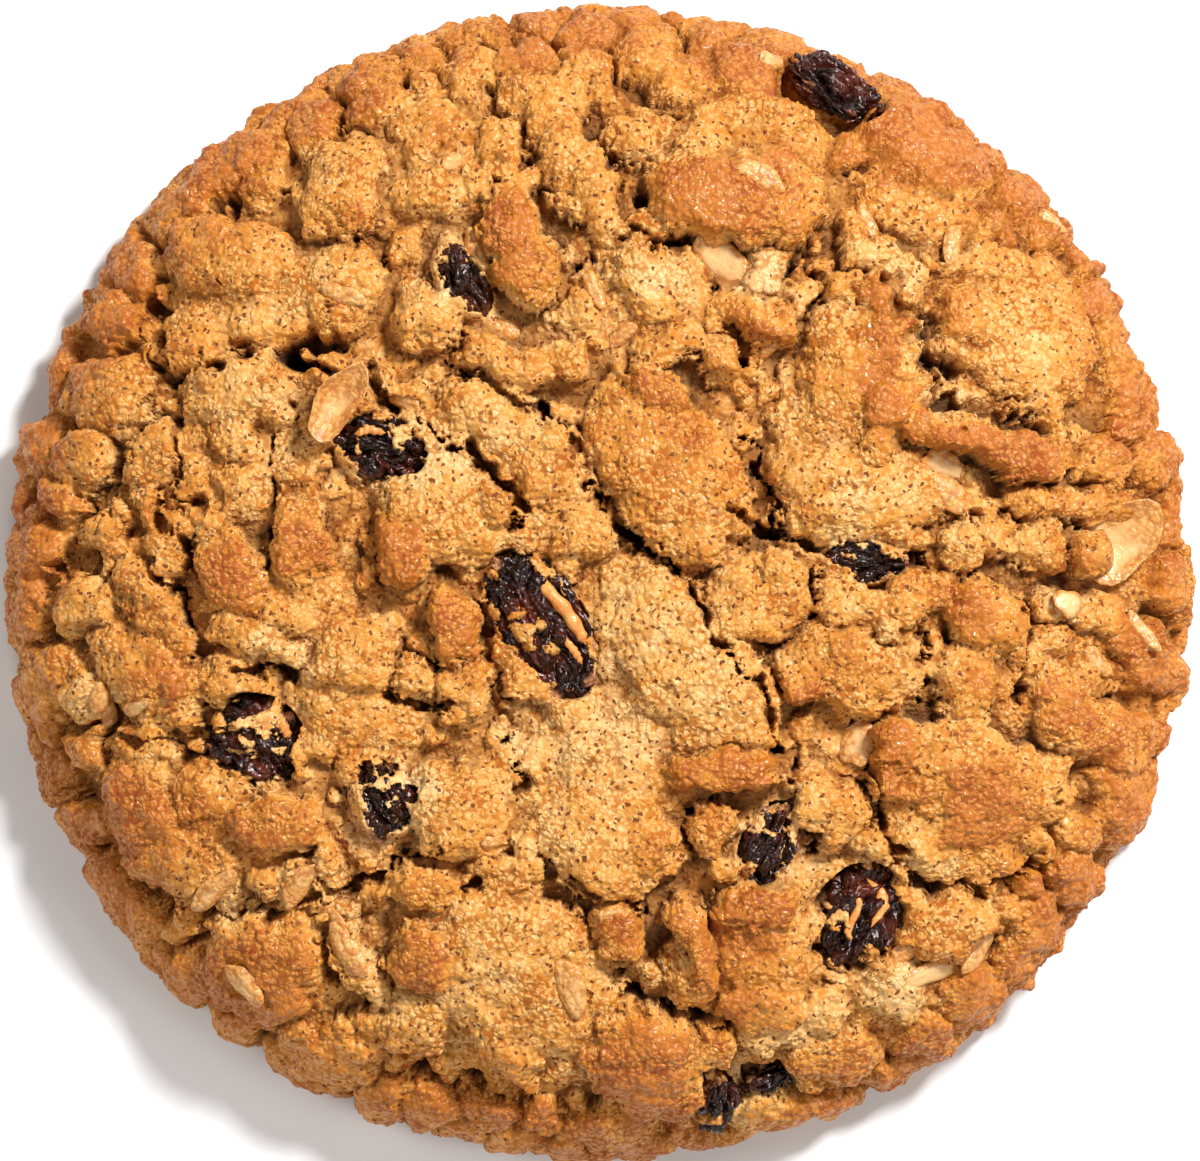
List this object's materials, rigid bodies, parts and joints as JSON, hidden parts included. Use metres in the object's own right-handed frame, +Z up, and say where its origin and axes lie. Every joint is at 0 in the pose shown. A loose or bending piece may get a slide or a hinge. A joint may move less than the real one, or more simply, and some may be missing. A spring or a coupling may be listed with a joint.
{
  "type": "oatmeal raisin cookie",
  "caption": "Round baked oatmeal cookie with a craggy domed top, raisins and oat flakes bedded in it, and a flat underside",
  "frame": {"origin": "on the flat underside, below the middle of the cookie's bounding box", "axes": "+Z up out of the craggy top, +X along the longest way across, +Y across the width"},
  "size_m": [0.0882, 0.0854, 0.0175],
  "materials": {
    "dough": "golden brown baked oat dough, crumbly, darker at the edge and on the high spots",
    "raisin": "wrinkled purple-black raisin, softly glossy",
    "oat": "pale rolled oat flake, smooth and faintly waxy"
  },
  "bodies": {
    "root": {"dough": "dough", "raisin_01": "raisin", "raisin_02": "raisin", "raisin_03": "raisin", "raisin_04": "raisin", "raisin_05": "raisin", "raisin_06": "raisin", "raisin_07": "raisin", "raisin_08": "raisin", "raisin_09": "raisin", "raisin_10": "raisin", "raisin_11": "raisin", "oat_flake_01": "oat", "oat_flake_02": "oat", "oat_flake_03": "oat", "oat_flake_04": "oat", "oat_flake_05": "oat", "oat_flake_06": "oat"}
  },
  "joints": []
}
